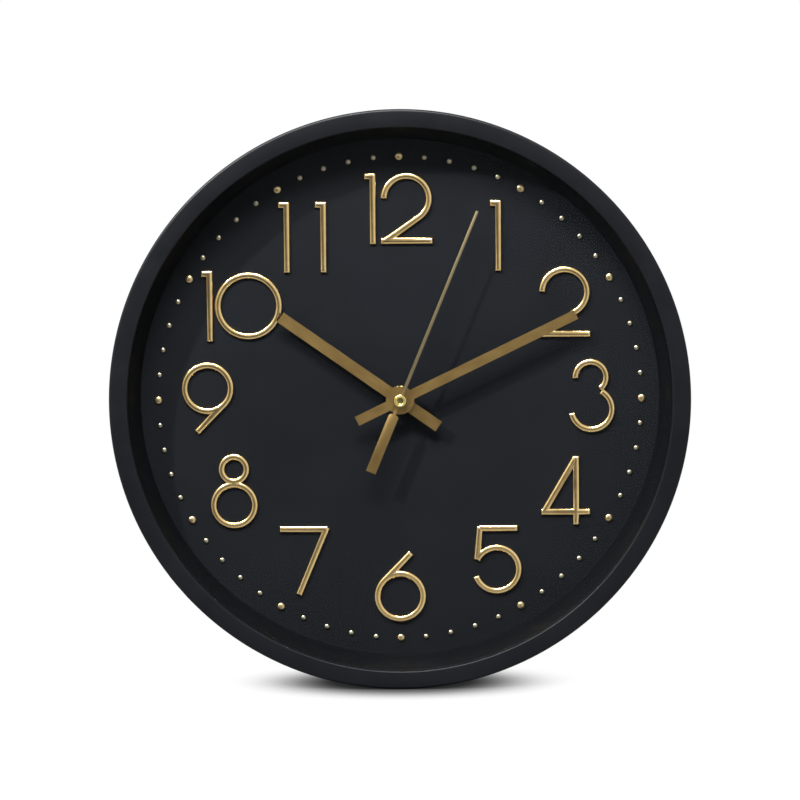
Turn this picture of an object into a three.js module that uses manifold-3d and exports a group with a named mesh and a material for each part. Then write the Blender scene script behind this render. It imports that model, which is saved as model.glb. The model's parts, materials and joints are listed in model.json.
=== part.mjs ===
// Round quartz wall clock, 300 mm across: a black moulded case with a flat glass, a black dial with
// applied gold numerals, brushed gold hands, and a battery movement that hangs on one screw in the wall.
//
// Units are millimetres. Every piece is drawn as someone reading the clock sees it: x to their right,
// y up and z towards them, with the wall at z = 0 and the hands' axis through x = y = 0. The exported
// group stands that drawing upright (+Z up, dial facing -Y) with its origin at the hanging point.
import * as THREE from "three";
import { mergeVertices } from "three/addons/utils/BufferGeometryUtils.js";
import Module from "manifold-3d";

const wasm = await Module();
wasm.setup();

// ---------------------------------------------------------------- driving dimensions
const TAU = 2 * Math.PI;
const FIT = 0.3; // gap kept round a screw or between loose neighbours

const CASE = { radius: 150, depth: 42, wall: 2.4, opening: 140.6, lipBack: 39.3, faces: 64 };
const CASE_BOSS = { count: 6, ring: 145.2, radius: 2.6, hole: 1.3, holeDepth: 10 };
const LENS = { radius: 142.3, back: 37.2, front: 39.2 };
const DIAL = { radius: 147, back: 20, front: 22, faces: 48, hole: 4.4 };
const RIB = { back: 17, thickness: 1.4, inner: 52, outer: 134, count: 8 };
const SPACER = { dialRadius: 135.4, lensRadius: 140.7, wall: 1.5, back: 22.2, front: 37.1 };

const NUMERAL = { ring: 99.2, height: 37, stroke: 3.4, back: 22.05, front: 23.6 };
const DOT = { ring: 126.3, smallRadius: 1.4, largeRadius: 2.1, height: 1.0, hourHeight: 1.2 };

const HANDS_AT = { hour: 305, minute: 64.2, second: 22.4 }; // degrees clockwise from twelve
const HUB_RADIUS = 7.3;
const HOUR_HAND = { length: 75.5, tail: 24.5, width: 6, back: 27, front: 27.7 };
const MINUTE_HAND = { length: 101.5, tail: 24.9, width: 5.1, back: 29.9, front: 30.6 };
const SECOND_HAND = { length: 105.8, tail: 40.4, root: 1.7, tip: 1.4, back: 32.6, front: 33 };
const COUNTERWEIGHT = { width: 5.3, start: 8, chamfer: 0.9 };
const SECOND_TUBE = { back: 31.6, front: 35.4, radius: 3.4, hole: 1.9, floor: 33.5 };

const MOVEMENT = { half: 28, corner: 3, back: 2.6, front: 18, wall: 1.4, skin: 1.2 };
const BOSS = { radius: 4, bore: 2.85, top: 25 }; // the threaded neck that goes through the dial
const BAY = { bottom: -27.2, top: -12.4, divider: 0.8 }; // battery bay, in y
const CELL = { radius: 7, length: 50.5, nub: 1.2, nubRadius: 2.7, y: -19.8, z: 9.7 };
const KEYHOLE = { y: 40, slotRadius: 2.2, headRadius: 4, headY: 35 };

// Gear trains. A stage's module follows from its centre distance and its tooth counts.
const STEP_STAGE = { pinion: 8, wheel: 48, distance: 11.2 }; // rotor to intermediate wheel
const SECONDS_STAGE = { pinion: 8, wheel: 40, distance: 12 }; // intermediate wheel to second wheel
const THIRD_STAGE = { pinion: 8, wheel: 64, distance: 12.25 }; // second wheel to third wheel
const CENTRE_STAGE = { pinion: 8, wheel: 60, distance: 12.25 }; // third wheel to centre wheel
const MOTION_STAGE = { pinion: 10, wheel: 30, distance: 12.5 }; // minute pipe to motion wheel
const HOUR_STAGE = { pinion: 8, wheel: 32, distance: 12.5 }; // motion wheel to hour wheel

// Directions from one arbor to the next, in degrees anticlockwise from x.
const INTERMEDIATE_AT = 62;
const THIRD_AT = 150;
const MOTION_AT = -5;
const ROTOR_AT = 35;

// Levels in z of the wheels' rims, from the dial side back, and of the arbors' ends.
const LEVEL = {
  hour: [15.4, 16.4],
  motion: [13.8, 15.0],
  centre: [12.2, 13.2],
  third: [10.3, 11.3],
  second: [9.0, 10.0],
  step: [7.4, 8.4],
};
const ARBOR = { radius: 0.6, back: 3.2, front: 17.3, bearing: 0.9, bearingDepth: 0.7 };
const SECOND_ARBOR_FRONT = 32.8;
const COVER = { back: MOVEMENT.back, front: 3.8 };
const INNER_FRONT = MOVEMENT.front - MOVEMENT.skin;
const CAVITY = { half: MOVEMENT.half - MOVEMENT.wall, bottom: BAY.top + BAY.divider };

// ---------------------------------------------------------------- solids
const radians = THREE.MathUtils.degToRad;

function polar(radius, degrees) {
  return [radius * Math.cos(radians(degrees)), radius * Math.sin(radians(degrees))];
}

function toSolid(geometry) {
  const bare = geometry.index ? geometry.toNonIndexed() : geometry.clone();
  bare.deleteAttribute("normal");
  bare.deleteAttribute("uv");
  const merged = mergeVertices(bare, 1e-4);
  const vertProperties = merged.attributes.position.array;
  const triVerts = new Uint32Array(merged.index.array);
  return new wasm.Manifold(new wasm.Mesh({ numProp: 3, vertProperties, triVerts }));
}

function toGeometry(solid) {
  const mesh = solid.getMesh();
  const geometry = new THREE.BufferGeometry();
  geometry.setAttribute("position", new THREE.BufferAttribute(mesh.vertProperties, 3));
  geometry.setIndex(new THREE.BufferAttribute(mesh.triVerts, 1));
  geometry.computeVertexNormals();
  return geometry;
}

function join(...geometries) {
  return toGeometry(geometries.map(toSolid).reduce((whole, piece) => whole.add(piece)));
}

function cut(geometry, ...tools) {
  return toGeometry(tools.map(toSolid).reduce((rest, tool) => rest.subtract(tool), toSolid(geometry)));
}

// Points of a regular polygon, the section of every round thing here.
function round(radius, sides, x = 0, y = 0) {
  return Array.from({ length: sides }, (_, i) => {
    const angle = (TAU * i) / sides;
    return [x + radius * Math.cos(angle), y + radius * Math.sin(angle)];
  });
}

function vectors(points) {
  return points.map(([x, y]) => new THREE.Vector2(x, y));
}

// A flat plate with the given outline and holes, from z0 to z1.
function plate(outline, z0, z1, ...holes) {
  const shape = new THREE.Shape(vectors(outline));
  holes.forEach((hole) => shape.holes.push(new THREE.Path(vectors(hole))));
  const geometry = new THREE.ExtrudeGeometry(shape, { depth: z1 - z0, bevelEnabled: false });
  return geometry.translate(0, 0, z0);
}

function pin(radius, z0, z1, sides = 12, x = 0, y = 0) {
  return plate(round(radius, sides, x, y), z0, z1);
}

function block(x0, x1, y0, y1, z0, z1) {
  const geometry = new THREE.BoxGeometry(x1 - x0, y1 - y0, z1 - z0);
  return geometry.translate((x0 + x1) / 2, (y0 + y1) / 2, (z0 + z1) / 2);
}

// A body of revolution about z. The profile's [radius, z] points run anticlockwise: up the outside.
// A profile that doesn't start on the axis is closed on itself.
function turned(profile, sides) {
  const points = profile[0][0] > 0 ? [...profile, profile[0]] : profile;
  return new THREE.LatheGeometry(vectors(points), sides).rotateX(Math.PI / 2);
}

// A bar of even width along a chain of points, with mitred corners and square ends.
function ribbon(points, width) {
  const chain = vectors(points);
  const normals = chain.slice(1).map((p, i) => {
    const along = p.clone().sub(chain[i]).normalize();
    return new THREE.Vector2(-along.y, along.x);
  });
  const offsets = chain.map((_, i) => {
    const before = normals[Math.max(i - 1, 0)];
    const after = normals[Math.min(i, normals.length - 1)];
    const mitre = before.clone().add(after).normalize();
    return mitre.multiplyScalar(width / 2 / mitre.dot(after));
  });
  const left = chain.map((p, i) => [p.x + offsets[i].x, p.y + offsets[i].y]);
  const right = chain.map((p, i) => [p.x - offsets[i].x, p.y - offsets[i].y]);
  return [...right, ...left.reverse()];
}

function arc(x, y, radius, fromDegrees, toDegrees, steps) {
  return Array.from({ length: steps + 1 }, (_, i) => {
    const [dx, dy] = polar(radius, fromDegrees + ((toDegrees - fromDegrees) * i) / steps);
    return [x + dx, y + dy];
  });
}

// ---------------------------------------------------------------- materials
function finish(color, roughness, metalness = 0, extra = {}) {
  return new THREE.MeshStandardMaterial({ color, roughness, metalness, ...extra });
}

const MATERIAL = {
  case: finish(0x1d1f23, 0.45),
  dial: finish(0x1b1e22, 0.75),
  glass: finish(0xf2f6f6, 0.05, 0, { transparent: true, opacity: 0.15 }),
  numeral: finish(0xd0aa62, 0.25, 1),
  hand: finish(0xa98544, 0.4, 1),
  brass: finish(0xd8b04a, 0.2, 1),
  steel: finish(0xb9bcc0, 0.35, 1),
  rubber: finish(0x151515, 0.9),
  movement: finish(0x1a1a1c, 0.55),
  gear: finish(0xe9e5d8, 0.5),
  copper: finish(0xb56a3a, 0.35, 1),
  board: finish(0x1f6b3a, 0.5),
  jacket: finish(0x2f3338, 0.3),
};

const nodes = [];
function node(name, geometry, material) {
  const mesh = new THREE.Mesh(geometry, material);
  mesh.name = name;
  nodes.push(mesh);
  return mesh;
}

// ---------------------------------------------------------------- case, lens, spacer and dial
function bossPlaces() {
  return Array.from({ length: CASE_BOSS.count }, (_, i) =>
    polar(CASE_BOSS.ring, 30 + (360 * i) / CASE_BOSS.count),
  );
}

function caseRing() {
  const inside = CASE.radius - CASE.wall;
  const edge = 1.4;
  const ring = turned(
    [
      [inside, 0],
      [CASE.radius, 0],
      [CASE.radius, CASE.depth - edge],
      [CASE.radius - edge, CASE.depth],
      [CASE.opening + 0.6, CASE.depth - 0.4],
      [CASE.opening, CASE.depth - 1],
      [CASE.opening, CASE.lipBack],
      [inside, CASE.lipBack],
    ],
    CASE.faces,
  );
  const bosses = bossPlaces().map(([x, y]) =>
    pin(CASE_BOSS.radius, DIAL.front + 0.1, CASE.lipBack + 0.5, 10, x, y),
  );
  const holes = bossPlaces().map(([x, y]) =>
    pin(CASE_BOSS.hole, DIAL.front, DIAL.front + CASE_BOSS.holeDepth, 8, x, y),
  );
  return cut(join(ring, ...bosses), ...holes);
}

function lens() {
  return pin(LENS.radius, LENS.back, LENS.front, CASE.faces);
}

// The cone that shows between the dial and the glass, and keeps them apart.
function spacerRing() {
  return turned(
    [
      [SPACER.dialRadius, SPACER.back],
      [SPACER.dialRadius + SPACER.wall, SPACER.back],
      [SPACER.lensRadius + SPACER.wall, SPACER.front],
      [SPACER.lensRadius, SPACER.front],
    ],
    DIAL.faces,
  );
}

function dialDots() {
  return Array.from({ length: 60 }, (_, minute) => {
    const hour = minute % 5 === 0;
    const [x, y] = polar(DOT.ring, 90 - 6 * minute);
    const top = DIAL.front + (hour ? DOT.hourHeight : DOT.height);
    return pin(hour ? DOT.largeRadius : DOT.smallRadius, DIAL.front - 0.2, top, 6, x, y);
  });
}

function dialRibs() {
  const half = RIB.thickness / 2;
  return Array.from({ length: RIB.count }, (_, i) =>
    block(RIB.inner - half, RIB.outer + half, -half, half, RIB.back, DIAL.back + 0.2).rotateZ(
      (TAU * (i + 0.5)) / RIB.count,
    ),
  );
}

// Four corners of a square wall that locate the movement on the back of the dial.
function movementCorners() {
  const inner = MOVEMENT.half + 0.7;
  const outer = inner + RIB.thickness;
  const reach = 16;
  const wall = cut(
    block(-outer, outer, -outer, outer, RIB.back, DIAL.back + 0.2),
    block(-inner, inner, -inner, inner, RIB.back - 1, DIAL.back + 1),
    block(-reach, reach, -outer - 1, outer + 1, RIB.back - 1, DIAL.back + 1),
    block(-outer - 1, outer + 1, -reach, reach, RIB.back - 1, DIAL.back + 1),
  );
  return wall;
}

function dial() {
  const { radius, back, front, hole, faces } = DIAL;
  const t = RIB.thickness;
  const disc = turned(
    [
      [hole, back],
      [RIB.inner - t, back],
      [RIB.inner - t, RIB.back],
      [RIB.inner, RIB.back],
      [RIB.inner, back],
      [RIB.outer, back],
      [RIB.outer, RIB.back],
      [RIB.outer + t, RIB.back],
      [RIB.outer + t, back],
      [radius, back],
      [radius, front],
      [hole, front],
    ],
    faces,
  );
  const holes = bossPlaces().map(([x, y]) => pin(CASE_BOSS.hole + 0.1, back - 1, front + 1, 8, x, y));
  return cut(join(disc, ...dialRibs(), movementCorners(), ...dialDots()), ...holes);
}

function dialScrew() {
  const head = pin(2, DIAL.back - 1.7, DIAL.back - 0.1, 12);
  const shank = pin(CASE_BOSS.hole - FIT, DIAL.back - 0.2, DIAL.front + CASE_BOSS.holeDepth - 1, 8);
  const slot = block(-1.6, 1.6, -0.3, 0.3, DIAL.back - 2, DIAL.back - 1.1);
  return cut(join(head, shank), slot, slot.clone().rotateZ(Math.PI / 2));
}

// ---------------------------------------------------------------- numerals
// Each digit is drawn on its own centre as bars (chains of points) and closed rings [x, y, radius, sides].
const TOP = (NUMERAL.height - NUMERAL.stroke) / 2;

function digitOne() {
  const halfHeight = NUMERAL.height / 2;
  const stem = [[0, -halfHeight], [0, halfHeight]];
  const flag = [[0, TOP], [-4.5, TOP]];
  return { bars: [stem, flag], rings: [] };
}

function digitTwo() {
  const radius = 11.7;
  const centre = new THREE.Vector2(0, TOP - radius);
  const corner = new THREE.Vector2(-radius + 0.2, -TOP);
  const toCentre = centre.clone().sub(corner);
  const slope = toCentre.angle() - Math.asin(radius / toCentre.length());
  const end = THREE.MathUtils.radToDeg(slope) - 90;
  const bowl = arc(centre.x, centre.y, radius, 180, end, 14);
  const foot = [[corner.x - NUMERAL.stroke / 2, -TOP], [13.7, -TOP]];
  return { bars: [[...bowl, [corner.x, corner.y]], foot], rings: [] };
}

function digitThree() {
  const upper = { x: -0.6, y: 9.7, radius: 8 };
  const lower = { x: 0, y: -7.1, radius: 10.6 };
  const waist = [7.6 - 0.4, 2.6];
  const upperEnd = THREE.MathUtils.radToDeg(Math.atan2(waist[1] - upper.y, waist[0] - upper.x - 2.4));
  const lowerEnd = THREE.MathUtils.radToDeg(Math.atan2(waist[1] - lower.y, waist[0] - lower.x - 2.4));
  return {
    bars: [
      arc(upper.x, upper.y, upper.radius, 185, upperEnd, 12),
      arc(lower.x, lower.y, lower.radius, lowerEnd, -170, 14),
    ],
    rings: [],
  };
}

function digitFour() {
  const halfHeight = NUMERAL.height / 2;
  const stemX = 5.4;
  const barY = -11.5;
  const stem = [[stemX, -halfHeight], [stemX, halfHeight - 0.4]];
  const bar = [[-13, barY], [13, barY]];
  const slope = [[stemX - 0.3, halfHeight - 2], [-11.9, barY]];
  return { bars: [stem, bar, slope], rings: [] };
}

function digitFive() {
  const bar = [[-9.9, TOP], [10.6, TOP]];
  const stem = [[-9.4, TOP], [-10.9, 0.4]];
  const bowl = arc(-0.4, -5, 11.5, 152, -162, 16);
  return { bars: [bar, stem, bowl], rings: [] };
}

function digitSix() {
  const bowl = { x: 0, y: -5.3, radius: 12 };
  const tip = [5.9, 17.9];
  const shoulder = arc(bowl.x, bowl.y, bowl.radius, 136, 180, 3);
  return { bars: [[tip, ...shoulder]], rings: [[bowl.x, bowl.y, bowl.radius, 28]] };
}

function digitSeven() {
  const bar = [[-13, TOP], [12.6, TOP]];
  const slope = [[11.5, TOP], [-3.1, -18.2]];
  return { bars: [bar, slope], rings: [] };
}

function digitEight() {
  return { bars: [], rings: [[0, 11.8, 6.5, 20], [0, -7.1, 10.8, 28]] };
}

function digitNine() {
  const turn = ([x, y]) => [-x, -y];
  const six = digitSix();
  return {
    bars: six.bars.map((bar) => bar.map(turn)),
    rings: six.rings.map(([x, y, radius, sides]) => [-x, -y, radius, sides]),
  };
}

function digitZero() {
  return { bars: [], rings: [[0, 0, 15.9, 32]] };
}

const DIGITS = {
  0: digitZero,
  1: digitOne,
  2: digitTwo,
  3: digitThree,
  4: digitFour,
  5: digitFive,
  6: digitSix,
  7: digitSeven,
  8: digitEight,
  9: digitNine,
};

function digitSolid(digit) {
  const { bars, rings } = DIGITS[digit]();
  const half = NUMERAL.stroke / 2;
  const { back, front } = NUMERAL;
  return join(
    ...bars.map((bar) => plate(ribbon(bar, NUMERAL.stroke), back, front)),
    ...rings.map(([x, y, radius, sides]) =>
      plate(round(radius + half, sides, x, y), back, front, round(radius - half, sides, x, y)),
    ),
  );
}

// Hour, its digits with their places right of and above the hour's point on the numeral ring, and how far
// that point sits inside the ring. The digits are applied one by one, so none is exactly on its point.
const HOURS = [
  [1, [[1, 1.9, -0.8]], 0],
  [2, [[2, 0, 0.8]], 0],
  [3, [[3, 1, 1.3]], 0],
  [4, [[4, 0.8, 1.3]], 0],
  [5, [[5, 1.3, 0.8]], 0],
  [6, [[6, -0.3, 0.3]], 0],
  [7, [[7, -0.8, 0.8]], 0],
  [8, [[8, -1.3, 1.3]], 0],
  [9, [[9, -1.3, 0.8]], 0],
  [10, [[1, -16.2, 1.3], [0, 4, 1.3]], 3.7],
  [11, [[1, -8.9, -1.3], [1, 10.2, -1.3]], 0],
  [12, [[1, -13.7, 0], [2, 3.8, 0]], 0],
];

function addNumerals() {
  for (const [hour, digits, inset] of HOURS) {
    const [x, y] = polar(NUMERAL.ring - inset, 90 - 30 * hour);
    digits.forEach(([digit, right, above], place) => {
      const name = digits.length === 1 ? `numeral_${hour}` : `numeral_${hour}_${"ab"[place]}`;
      node(name, digitSolid(digit), MATERIAL.numeral).position.set(x + right, y + above, 0);
    });
  }
}

// ---------------------------------------------------------------- hands
// A flat bar with a round hub, and a collar behind the hub that grips its pipe.
function barHand({ length, tail, width, back, front }, collar) {
  const half = width / 2;
  const bar = block(-half, half, -tail, length, back, front);
  const hub = pin(HUB_RADIUS, back, front, 28);
  const grip = pin(collar.radius, collar.back, back + 0.1, 16);
  return cut(join(bar, hub, grip), pin(collar.hole, collar.back - 1, front + 1, 20));
}

function secondHand() {
  const { length, tail, root, tip, back, front } = SECOND_HAND;
  const { width, start, chamfer } = COUNTERWEIGHT;
  const half = width / 2;
  const outline = [
    [root / 2, 0],
    [tip / 2, length],
    [-tip / 2, length],
    [-root / 2, 0],
    [-root / 2, -start],
    [chamfer - half, -start],
    [-half, -start - chamfer],
    [-half, -tail],
    [half, -tail],
    [half, -start - chamfer],
    [half - chamfer, -start],
    [root / 2, -start],
  ];
  return cut(join(plate(outline, back, front), pin(3.2, back, front, 20)), pin(2.45, back - 1, front + 1, 16));
}

// The second hand's socket: it presses on the arbor from behind and is dished in front.
function secondTube() {
  const { back, front, radius, hole, floor } = SECOND_TUBE;
  const shank = 2.2;
  const bore = 0.85;
  const flange = SECOND_HAND.front + 0.1;
  return turned(
    [
      [0, SECOND_ARBOR_FRONT + 0.1],
      [bore, SECOND_ARBOR_FRONT + 0.1],
      [bore, back],
      [shank, back],
      [shank, flange],
      [radius, flange],
      [radius, front - 0.3],
      [radius - 0.3, front],
      [hole, front],
      [hole, floor],
      [0, floor],
    ],
    20,
  );
}

function addHands() {
  const hour = barHand(HOUR_HAND, { radius: 3.7, back: 25.4, hole: 2.9 });
  const minute = barHand(MINUTE_HAND, { radius: 2.8, back: 28.6, hole: 2 });
  node("hour_hand", hour, MATERIAL.hand).rotation.z = -radians(HANDS_AT.hour);
  node("minute_hand", minute, MATERIAL.hand).rotation.z = -radians(HANDS_AT.minute);
  node("second_hand", secondHand(), MATERIAL.hand).rotation.z = -radians(HANDS_AT.second);
  node("second_hand_tube", secondTube(), MATERIAL.brass).rotation.z = -radians(HANDS_AT.second);
}

// ---------------------------------------------------------------- movement housing
function roundedSquare(half, corner) {
  const c = half - corner;
  return [
    ...arc(c, -c, corner, -90, 0, 3),
    ...arc(c, c, corner, 0, 90, 3),
    ...arc(-c, c, corner, 90, 180, 3),
    ...arc(-c, -c, corner, 180, 270, 3),
  ];
}

const ROTOR = {};
const INTERMEDIATE = {};
const THIRD = {};
const MOTION = {};
[INTERMEDIATE.x, INTERMEDIATE.y] = polar(SECONDS_STAGE.distance, INTERMEDIATE_AT);
[THIRD.x, THIRD.y] = polar(THIRD_STAGE.distance, THIRD_AT);
[MOTION.x, MOTION.y] = polar(MOTION_STAGE.distance, MOTION_AT);
[ROTOR.x, ROTOR.y] = polar(STEP_STAGE.distance, ROTOR_AT);
ROTOR.x += INTERMEDIATE.x;
ROTOR.y += INTERMEDIATE.y;
const ARBORS = [ROTOR, INTERMEDIATE, THIRD, MOTION];

function movementHousing() {
  const { half, corner, back, front } = MOVEMENT;
  const shell = plate(roundedSquare(half, corner), back, front);
  const neck = pin(BOSS.radius, front - 0.1, BOSS.top, 24);
  const inside = CAVITY.half;
  const bearings = ARBORS.map(({ x, y }) =>
    pin(ARBOR.bearing, INNER_FRONT - 0.1, INNER_FRONT + ARBOR.bearingDepth, 10, x, y),
  );
  return cut(
    join(shell, neck),
    block(-inside, inside, CAVITY.bottom, inside, back - 1, INNER_FRONT),
    block(-inside, inside, BAY.bottom, BAY.top, back - 1, INNER_FRONT),
    pin(BOSS.bore, INNER_FRONT - 1, BOSS.top + 1, 24),
    ...bearings,
  );
}

function movementCover() {
  const gap = 0.2;
  const inside = CAVITY.half - gap;
  const sheet = block(-inside, inside, CAVITY.bottom + gap, inside, COVER.back, COVER.front);
  const boardPosts = [-7, 9.5].map((y) => pin(1, COVER.front - 0.1, BOARD.back - 0.1, 8, -20, y));
  const stator = [[-21.2, 19], [19.2, 21]];
  const statorPosts = stator.map(([x, y]) => pin(1.3, COVER.front - 0.1, STATOR.back - 0.1, 8, x, y));
  const knobCollar = plate(round(7.6, 24, MOTION.x, MOTION.y), 1.6, COVER.back + 0.1);
  const knobWell = pin(6.6, 0, COVER.back, 24, MOTION.x, MOTION.y);
  const knobHole = pin(1.7, 0, COVER.front + 1, 12, MOTION.x, MOTION.y);
  const pivots = [{ x: 0, y: 0 }, ROTOR, INTERMEDIATE, THIRD];
  const bearings = pivots.map(({ x, y }) =>
    pin(ARBOR.bearing, COVER.front - ARBOR.bearingDepth, COVER.front + 0.1, 10, x, y),
  );
  const collar = cut(knobCollar, knobWell);
  return cut(join(sheet, collar, ...boardPosts, ...statorPosts), knobHole, ...bearings);
}

// A sheet steel hanger: under the dial, over the movement's top edge and back to the wall.
function hanger() {
  const t = 0.8;
  const front = MOVEMENT.front + 0.1;
  const riser = MOVEMENT.half + 0.7;
  const tab = 1.6;
  const side = [
    [-10, front],
    [riser, front],
    [riser, tab],
    [46, tab],
    [46, tab + t],
    [riser + t, tab + t],
    [riser + t, front + t],
    [-10, front + t],
  ];
  const width = 24;
  // The side view is drawn as (y, z), extruded along x.
  const strip = plate(side, -width / 2, width / 2);
  strip.applyMatrix4(new THREE.Matrix4().makeBasis(
    new THREE.Vector3(0, 1, 0),
    new THREE.Vector3(0, 0, 1),
    new THREE.Vector3(1, 0, 0),
  ));
  const { slotRadius, headRadius, headY, y } = KEYHOLE;
  return cut(
    strip,
    pin(DIAL.hole, front - 1, front + 2, 20),
    pin(headRadius, 0, 4, 20, 0, headY),
    block(-slotRadius, slotRadius, headY, y, 0, 4),
    pin(slotRadius, 0, 4, 16, 0, y),
  );
}

function hexNut() {
  const hexagon = round(6.35, 6);
  return plate(hexagon, 22.7, 24.7, round(BOSS.radius + 0.2, 24));
}

function settingKnob() {
  const flutes = Array.from({ length: 32 }, (_, i) => polar(i % 2 ? 6 : 5.6, (360 * i) / 32));
  const disc = plate(flutes, 0.5, 2.2);
  const stem = pin(1.3, 2.1, 6, 12);
  return cut(join(disc, stem), pin(ARBOR.bearing, 2.9, 7, 12));
}

// ---------------------------------------------------------------- battery, contacts and electronics
const BOARD = { back: 4.2, front: 5, x0: -25.4, x1: -14.4, y0: -9.5, y1: 12 };
const STATOR = { back: 6, front: 7, hole: 3.4, coreY: 22.5, coreHalf: 0.9 };

// Turns a piece drawn about z to lie along x.
function along(geometry) {
  return geometry.rotateY(Math.PI / 2);
}

function batteryCell() {
  const { radius, length, nub, nubRadius } = CELL;
  const body = length - nub;
  return along(
    turned(
      [
        [0, -length / 2],
        [nubRadius, -length / 2],
        [nubRadius, -length / 2 + nub],
        [radius, -length / 2 + nub],
        [radius, -length / 2 + nub + body],
        [0, length / 2],
      ],
      20,
    ),
  );
}

function positiveContact() {
  const leaf = block(-0.2, 0.2, -5, 5, -5, 5.5);
  const dimple = along(pin(2, 0.1, 0.45, 10));
  return join(leaf, dimple);
}

function negativeContact() {
  const leaf = block(-0.2, 0.2, -5, 5, -5, 5.5);
  const spring = along(
    turned(
      [
        [0, -1.1],
        [1.4, -1.1],
        [1.4, -0.7],
        [2.6, -0.7],
        [2.6, -0.3],
        [3.8, -0.3],
        [3.8, 0],
        [0, 0],
      ],
      12,
    ),
  );
  return join(leaf, spring);
}

function chip() {
  return turned([[0, 5.1], [3, 5.1], [2.6, 5.8], [1.4, 6.2], [0, 6.3]], 12);
}

function crystal() {
  const can = turned([[0, -3], [1, -3], [1, 2.6], [1.15, 2.6], [1.15, 3], [0, 3]], 12);
  return can.rotateX(-Math.PI / 2);
}

function statorPlate() {
  const { back, front, coreY, coreHalf, hole } = STATOR;
  const top = coreY + coreHalf;
  return cut(
    join(
      block(-23, 21, coreY - coreHalf, top, back, front),
      block(-23, -19.5, 14.5, top, back, front),
      block(-23, ROTOR.x, 14.5, 17.5, back, front),
      block(17.5, 21, ROTOR.y, top, back, front),
      pin(6.2, back, front, 24, ROTOR.x, ROTOR.y),
    ),
    pin(hole, back - 1, front + 1, 20, ROTOR.x, ROTOR.y),
  );
}

const COIL = { x0: -18.6, x1: 0, z: 6.5, flange: 1 };

// Rectangle about the coil's axis, in its own section plane.
function section(halfY, halfZ) {
  return [[-halfZ, -halfY], [halfZ, -halfY], [halfZ, halfY], [-halfZ, halfY]];
}

function coilBobbin() {
  const length = COIL.x1 - COIL.x0;
  const core = section(STATOR.coreHalf + 0.3, 0.8);
  const flange = section(2.55, 2.55);
  return along(
    join(
      plate(section(1.5, 1.1), 0, length, core),
      plate(flange, 0, COIL.flange, core),
      plate(flange, length - COIL.flange, length, core),
    ),
  );
}

function coilWinding() {
  const length = COIL.x1 - COIL.x0;
  const margin = COIL.flange + 0.2;
  return along(plate(round(2.4, 16), margin, length - margin, section(1.7, 1.3)));
}

// ---------------------------------------------------------------- gears
// Teeth are straight-sided with a narrow tip and a near radial root, as moulded clock wheels have.
// "at" is the direction of one tooth's middle, in degrees.
function gearOutline(teeth, module, at, { addendum, dedendum, root, pitch, tip }) {
  const pitchRadius = (teeth * module) / 2;
  const corners = [
    [pitchRadius - dedendum * module, -root],
    [pitchRadius, pitch === null ? null : -pitch],
    [pitchRadius + addendum * module, -tip],
    [pitchRadius + addendum * module, tip],
    [pitchRadius, pitch],
    [pitchRadius - dedendum * module, root],
  ].filter(([, share]) => share !== null);
  const step = 360 / teeth;
  return Array.from({ length: teeth }, (_, i) =>
    corners.map(([radius, share]) => polar(radius, at + step * (i + share))),
  ).flat();
}

const WHEEL_TOOTH = { addendum: 0.8, dedendum: 1.2, root: 0.27, pitch: null, tip: 0.11 };
const PINION_TOOTH = { addendum: 0.8, dedendum: 1.2, root: 0.2, pitch: 0.19, tip: 0.08 };

function stageModule({ pinion, wheel, distance }) {
  return (2 * distance) / (pinion + wheel);
}

// The pinion of a stage has a tooth on the line of centres, and its wheel a gap.
function pinionOutline(stage, towardsWheel) {
  return gearOutline(stage.pinion, stageModule(stage), towardsWheel, PINION_TOOTH);
}

function wheelOutline(stage, towardsPinion) {
  const at = towardsPinion + 180 / stage.wheel;
  return gearOutline(stage.wheel, stageModule(stage), at, WHEEL_TOOTH);
}

function arborPin(radius = ARBOR.radius) {
  return pin(radius, ARBOR.back, ARBOR.front, 12);
}

function rotorPinion() {
  const leaves = plate(pinionOutline(STEP_STAGE, ROTOR_AT + 180), 7.2, 8.6);
  return join(leaves, arborPin());
}

function rotorMagnet() {
  return plate(round(2.8, 20), 5.4, 7, round(ARBOR.bearing, 12));
}

function intermediateWheel() {
  const rim = plate(wheelOutline(STEP_STAGE, ROTOR_AT), ...LEVEL.step);
  const leaves = plate(pinionOutline(SECONDS_STAGE, INTERMEDIATE_AT + 180), LEVEL.step[1] - 0.1, 10.1);
  return join(rim, leaves, arborPin());
}

function secondWheel() {
  const rim = plate(wheelOutline(SECONDS_STAGE, INTERMEDIATE_AT), ...LEVEL.second);
  const leaves = plate(pinionOutline(THIRD_STAGE, THIRD_AT), LEVEL.second[1] - 0.1, 11.5);
  const arbor = pin(ARBOR.radius, ARBOR.back, SECOND_ARBOR_FRONT, 12);
  return join(rim, leaves, arbor);
}

function thirdWheel() {
  const rim = plate(wheelOutline(THIRD_STAGE, THIRD_AT + 180), ...LEVEL.third);
  const leaves = plate(pinionOutline(CENTRE_STAGE, THIRD_AT + 180), LEVEL.third[1] - 0.1, 13.4);
  return join(rim, leaves, arborPin());
}

// The centre wheel grips the minute pipe by friction, so that the hands can be set.
function centreWheel() {
  return plate(wheelOutline(CENTRE_STAGE, THIRD_AT), ...LEVEL.centre, round(1.95, 20));
}

function minutePipe() {
  const leaves = plate(pinionOutline(MOTION_STAGE, MOTION_AT), 13.7, 15.1);
  const pipe = pin(1.7, 11.8, 30.9, 20);
  const flange = pin(2.6, 11.75, 12.05, 20);
  return cut(join(leaves, pipe, flange), pin(0.9, 11, 32, 12));
}

function motionWheel() {
  const rim = plate(wheelOutline(MOTION_STAGE, MOTION_AT + 180), ...LEVEL.motion);
  const leaves = plate(pinionOutline(HOUR_STAGE, MOTION_AT + 180), LEVEL.motion[1] - 0.1, 16.5);
  return join(rim, leaves, arborPin());
}

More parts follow.
